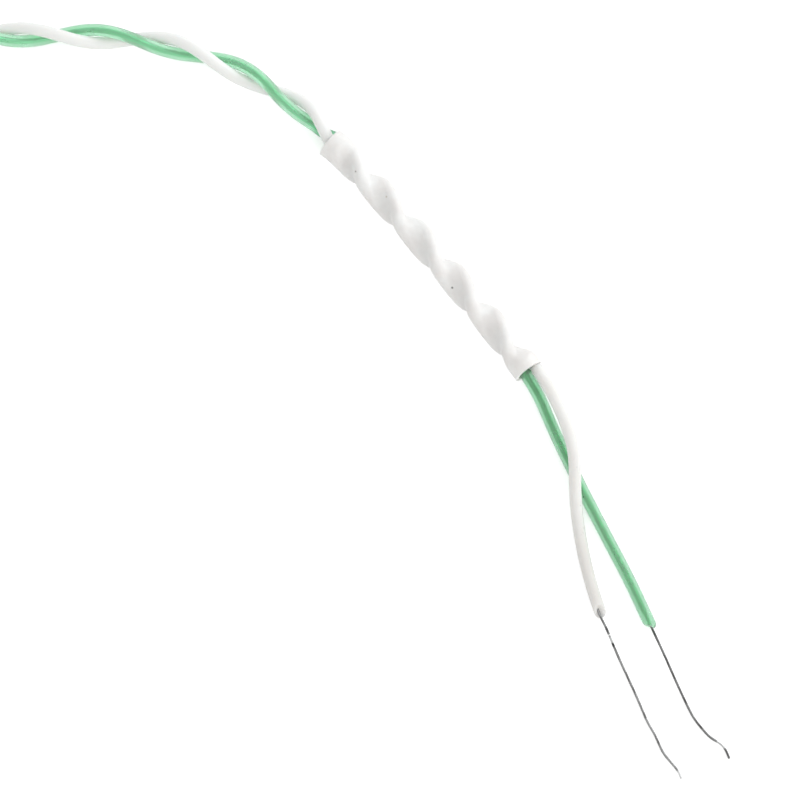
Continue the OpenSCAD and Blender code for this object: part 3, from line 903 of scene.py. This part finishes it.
# "oxide" is between which values of the patches' noise the bright metal goes over into the dull
wireLook = {"bright": (0.27, 0.27, 0.27), "dull": (0.11, 0.108, 0.105), "rough": 0.34,
            "oxideRough": 0.25, "oxide": (0.42, 0.62), "patches": (1.6, 3.0, 0.6),
            "lines": (8.0, 3.0, 0.7), "bump": 0.004 * mm}
paleWireLook = dict(wireLook, bright=(0.38, 0.38, 0.38), dull=(0.17, 0.167, 0.163))
# Rubbed and nicked stretches: place along the wire in mm, half length, colour
positiveRubs = [(1.35, 0.5, (0.6, 0.6, 0.6)), (12.07, 0.3, (0.1, 0.11, 0.1))]
negativeRubs = [(0.3, 0.5, (0.75, 0.75, 0.75)), (13.12, 0.05, (0.9, 0.9, 0.9)),
                (12.7, 0.32, (0.6, 0.6, 0.6)), (12.25, 0.2, (0.08, 0.08, 0.08)),
                (13.6, 0.3, (0.14, 0.14, 0.14))]
# The skin that grips the wire colours it: from where on in mm, over what length, and its colours
# in the tail and in the lead, with the places where the one ends and the other starts
gripped = {"from": greenTail["bare"] / mm, "over": 0.3, "tail": (0.05, 0.5, 0.19),
           "lead": (0.24, 0.75, 0.44), "tailEnd": 40.0, "leadStart": 65.0}


def drawnWire(name, c, rubs=(), grip=None):
    # Drawn nickel alloy: fine lines along it, dull patches of oxide
    m, tree, shader = newMaterial(name)
    lines = noise(tree, roundVector(tree, 1.0, 0.2), *c["lines"])
    patches = noise(tree, roundVector(tree, 0.4, 0.6), *c["patches"])
    oxide = between(tree, patches, *c["oxide"])
    colour = blend(tree, oxide, rgba(c["bright"]), rgba(c["dull"]))
    # A rub goes all the way round: a speck on a girth of nil, drawn out to its length
    size, girth = 0.1, 0.0
    marks = [(0.5, along, size, half / size, shade) for along, half, shade in rubs]
    colour = specks(tree, colour, marks, girth)
    if grip:
        along = ownMap(tree)[1]
        inside = between(tree, along, grip["from"], grip["from"] + grip["over"])
        inLead = between(tree, along, grip["tailEnd"], grip["leadStart"])
        skinned = blend(tree, inLead, rgba(grip["tail"]), rgba(grip["lead"]))
        colour = blend(tree, inside, colour, skinned)
    rough = calc(tree, "MULTIPLY_ADD", oxide, c["oxideRough"], c["rough"])
    feed(tree, shader, {"Base Color": colour, "Metallic": 1.0, "Roughness": rough,
                        "Normal": bumped(tree, lines, c["bump"])})
    return m


wireMat = drawnWire("bare_wire", wireLook)
positiveMat = drawnWire("positive_wire", wireLook, positiveRubs, gripped)
negativeMat = drawnWire("negative_wire", paleWireLook, negativeRubs)

tieLook = {"pale": (0.87, 0.87, 0.85), "deep": (0.83, 0.825, 0.80), "rough": (0.34, 0.52),
           "clouds": (0.8, 2.0, 0.5), "grain": (6.0, 3.0, 0.6), "bump": 0.004 * mm}


def coatedTie(c):
    # Plastic coated tie: soft clouds of colour and a fine grain
    m, tree, shader = newMaterial("tie")
    colour, grain, rough = satin(tree, placeInMm(tree), c)
    feed(tree, shader, {"Base Color": colour, "Roughness": rough,
                        "Normal": bumped(tree, grain, c["bump"])})
    return m


tieMat = coatedTie(tieLook)


def dress(o, material, slot, *nodes):
    o.data.materials.clear()
    o.data.materials.append(material)
    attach(o, "root")
    if nodes:
        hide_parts(*nodes)


dress(greenCore, greenMat, "green_insulation", "green_insulation", "lead_coil",
      "hot_end_green_insulation")
dress(whiteCore, whiteMat, "white_insulation", "white_insulation", "hot_end_white_insulation")
dress(greenWire, positiveMat, "bare_wire", "positive_conductor")
dress(whiteWire, negativeMat, "bare_wire", "negative_conductor")
dress(sleevePiece, sleeveMat, "sleeve", "shrink_sleeve")
dress(junction, wireMat, "bare_wire", "measuring_junction")
dress(tiePiece, tieMat, "tie", "coil_tie")
print("pieces dressed")


# Floor and light

floorLook = {"size": 6, "colour": (0.86, 0.86, 0.86, 1), "rough": 0.9, "glow": 0.5}
# Where each lamp stands, seen from the camera's target: to the right, ahead and up
lights = {"key": {"from": (0.55, 0.75, 0.4), "power": 1.25, "colour": (0.94, 0.975, 1.0)},
          "front": {"from": (0.6, -0.7, 0.4), "power": 0.9, "colour": (1.0, 0.99, 0.98)}}
lightAway, lightSize, worldStrength = 0.6, 0.4, 0.75


def makeFloor(c):
    # It glows for the rays that it is seen by, so that it is white and keeps its shadow
    bpy.ops.mesh.primitive_plane_add(size=c["size"], location=(0, 0, 0))
    o = bpy.context.object
    o.name = "floor"
    m, tree, shader = newMaterial("floor")
    path = put(tree, "LightPath").outputs
    seen = calc(tree, "MAXIMUM", path["Is Camera Ray"], path["Is Transmission Ray"])
    seen = calc(tree, "MAXIMUM", seen, path["Is Glossy Ray"])
    feed(tree, shader, {"Base Color": c["colour"], "Roughness": c["rough"],
                        "Emission Color": plain,
                        "Emission Strength": calc(tree, "MULTIPLY", seen, c["glow"])})
    o.data.materials.append(m)


def areaLight(name, c):
    place = target + np.array(c["from"]) * lightAway
    data = bpy.data.lights.new(name, "AREA")
    data.shape, data.size, data.energy, data.color = "DISK", lightSize, c["power"], c["colour"]
    o = bpy.data.objects.new(name, data)
    bpy.context.collection.objects.link(o)
    back = unit(place - target)
    o.matrix_world = facing(unit(np.cross(up, back)), back, place)


def makeWorld():
    world = bpy.data.worlds.new("world")
    bpy.context.scene.world = world
    world.use_nodes = True
    feed(world.node_tree, world.node_tree.nodes["Background"],
         {"Color": plain, "Strength": worldStrength})


makeFloor(floorLook)
for name, light in lights.items():
    areaLight(name, light)
makeWorld()
bpy.context.scene.view_settings.view_transform = "Standard"
print("floor and light made")
